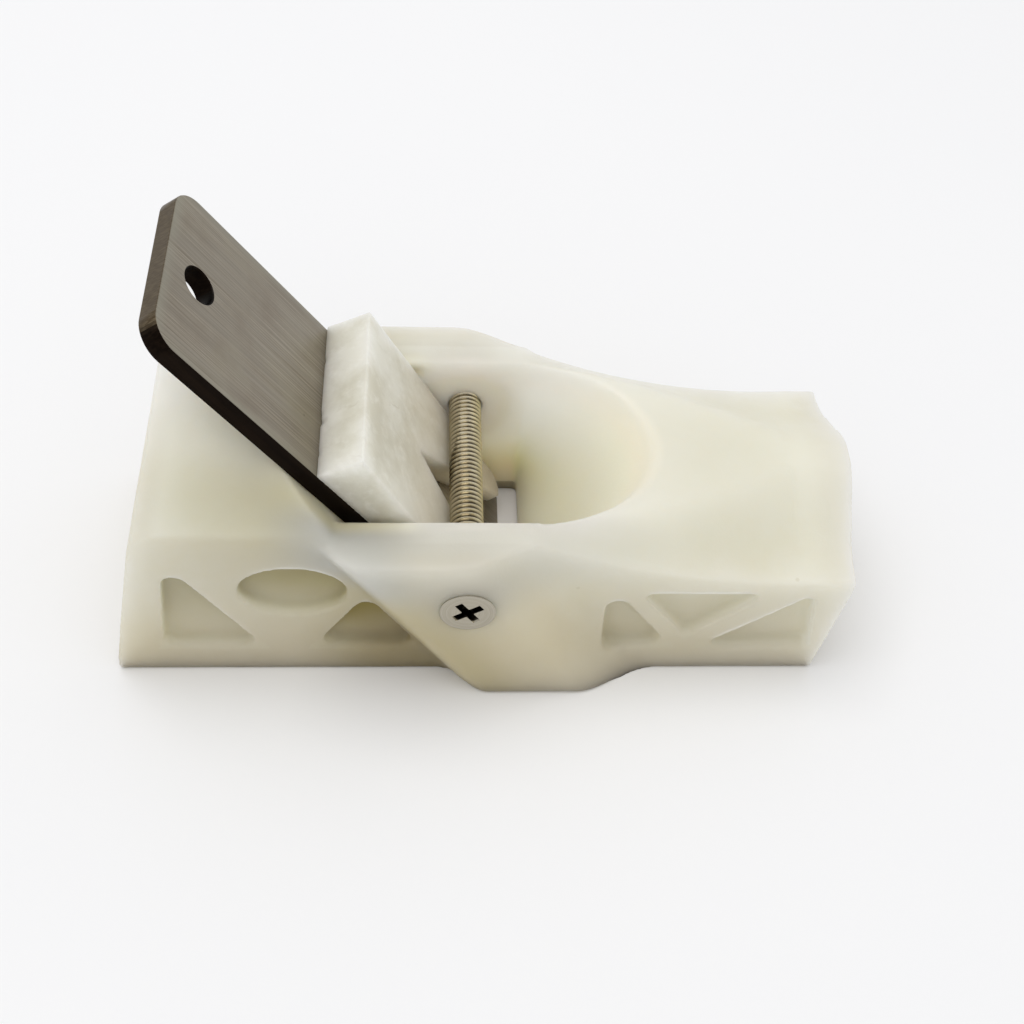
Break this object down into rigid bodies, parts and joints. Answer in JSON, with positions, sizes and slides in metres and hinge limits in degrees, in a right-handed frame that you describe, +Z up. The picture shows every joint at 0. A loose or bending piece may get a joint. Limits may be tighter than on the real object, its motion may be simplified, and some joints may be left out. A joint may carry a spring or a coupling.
{
  "type": "hand plane",
  "caption": "Small block plane with a cast resin body, a steel iron bedded at a steep angle, a notched wedge and a cross screw that clamps it.",
  "frame": {"origin": "on the sole, on the middle plane, straight under the axis of the cross screw", "axes": "+X along the sole towards the toe, +Y across towards the nut, +Z up from the sole"},
  "size_m": [0.1292, 0.0582, 0.0758],
  "materials": {
    "cast_body": "translucent ivory resin, satin",
    "cast_wedge": "cloudy ivory resin, satin",
    "iron_steel": "ground lengthwise, darkened edges",
    "screw_steel": "plain steel",
    "nut_steel": "plain steel"
  },
  "bodies": {
    "body": {"plane_body": "cast_body", "cross_nut": "nut_steel"},
    "iron": {"plane_iron": "iron_steel"},
    "wedge": {"wedge": "cast_wedge"},
    "screw": {"cross_screw": "screw_steel"}
  },
  "joints": [
    {"name": "iron_slide", "type": "slide", "parent": "body", "child": "iron", "axis": [-0.5701, 0, 0.8215], "range_m": [-0.0003, 0.095]},
    {"name": "wedge_slide", "type": "slide", "parent": "body", "child": "wedge", "axis": [-0.5701, 0, 0.8215], "range_m": [0, 0.055]},
    {"name": "screw_turn", "type": "hinge", "parent": "body", "child": "screw", "pos_m": [0, 0, 0.02447], "axis": [0, 1, 0], "continuous": true}
  ]
}
